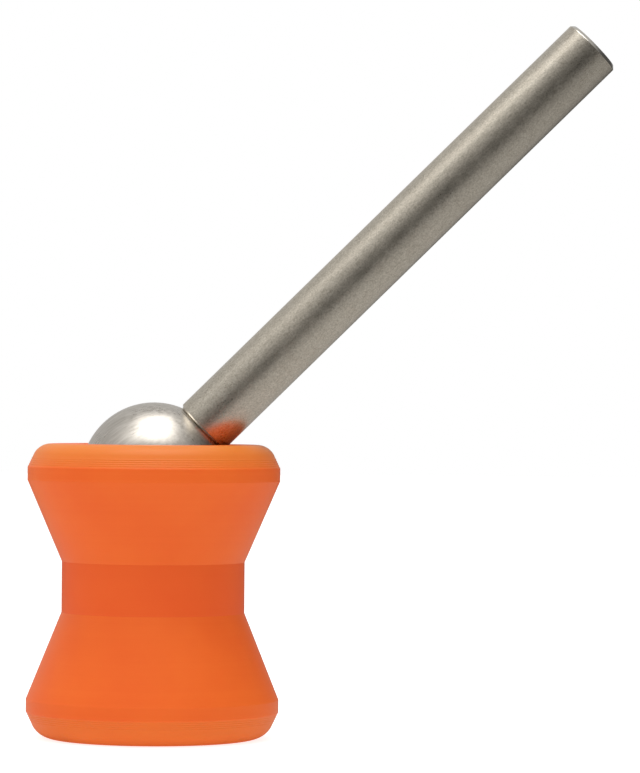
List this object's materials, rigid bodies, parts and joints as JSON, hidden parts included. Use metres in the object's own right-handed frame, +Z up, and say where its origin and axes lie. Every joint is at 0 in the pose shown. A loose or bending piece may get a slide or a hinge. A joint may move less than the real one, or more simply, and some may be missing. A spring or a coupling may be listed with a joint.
{
  "type": "dead blow mallet",
  "caption": "Hourglass dead blow mallet head in orange plastic with a loose shot load and a plain round steel bar handle that swivels on a steel ball in the head's top face.",
  "frame": {"origin": "centre of the lower striking face, on the head's axis", "axes": "+Z up along the head's axis, from the striking face towards the ball; the handle leans towards +X, in the XZ plane"},
  "size_m": [0.2418, 0.105, 0.2966],
  "materials": {
    "head_plastic": "turned, satin",
    "plug_plastic": "turned, satin",
    "seal_rubber": "moulded",
    "pad_rubber": "cut sheet",
    "canister_steel": "turned",
    "shot_steel": "ground",
    "spring_steel": "oiled, dark",
    "cup_plastic": "machined acetal",
    "ball_steel": "satin",
    "stud_steel": "black oxide",
    "bar_steel": "satin, fine grain"
  },
  "bodies": {
    "head": {"head_shell": "head_plastic", "striking_plug": "plug_plastic", "plug_seal": "seal_rubber", "canister_pad": "pad_rubber", "shot_canister": "canister_steel", "canister_lid": "canister_steel", "disc_spring_1": "spring_steel", "disc_spring_2": "spring_steel", "disc_spring_3": "spring_steel", "disc_spring_4": "spring_steel", "spring_plate": "canister_steel"},
    "seat": {"ball_cup": "cup_plastic"},
    "ball": {"swivel_ball": "ball_steel"},
    "handle": {"handle_stud": "stud_steel", "handle_bar": "bar_steel"},
    "charge": {"steel_shot": "shot_steel"}
  },
  "joints": [
    {"name": "seat_swivel", "type": "hinge", "parent": "head", "child": "seat", "pos_m": [0, 0, 0.109], "axis": [0, 0, 1], "continuous": true},
    {"name": "ball_tilt", "type": "hinge", "parent": "seat", "child": "ball", "pos_m": [0, 0, 0.109], "axis": [0, 1, 0], "range_deg": [-90.56, 0]},
    {"name": "handle_spin", "type": "hinge", "parent": "ball", "child": "handle", "pos_m": [0, 0, 0.109], "axis": [0.7106, 0, 0.7036], "continuous": true},
    {"name": "shot_shift", "type": "slide", "parent": "head", "child": "charge", "axis": [0, 0, 1], "range_m": [0, 0.0072]}
  ]
}
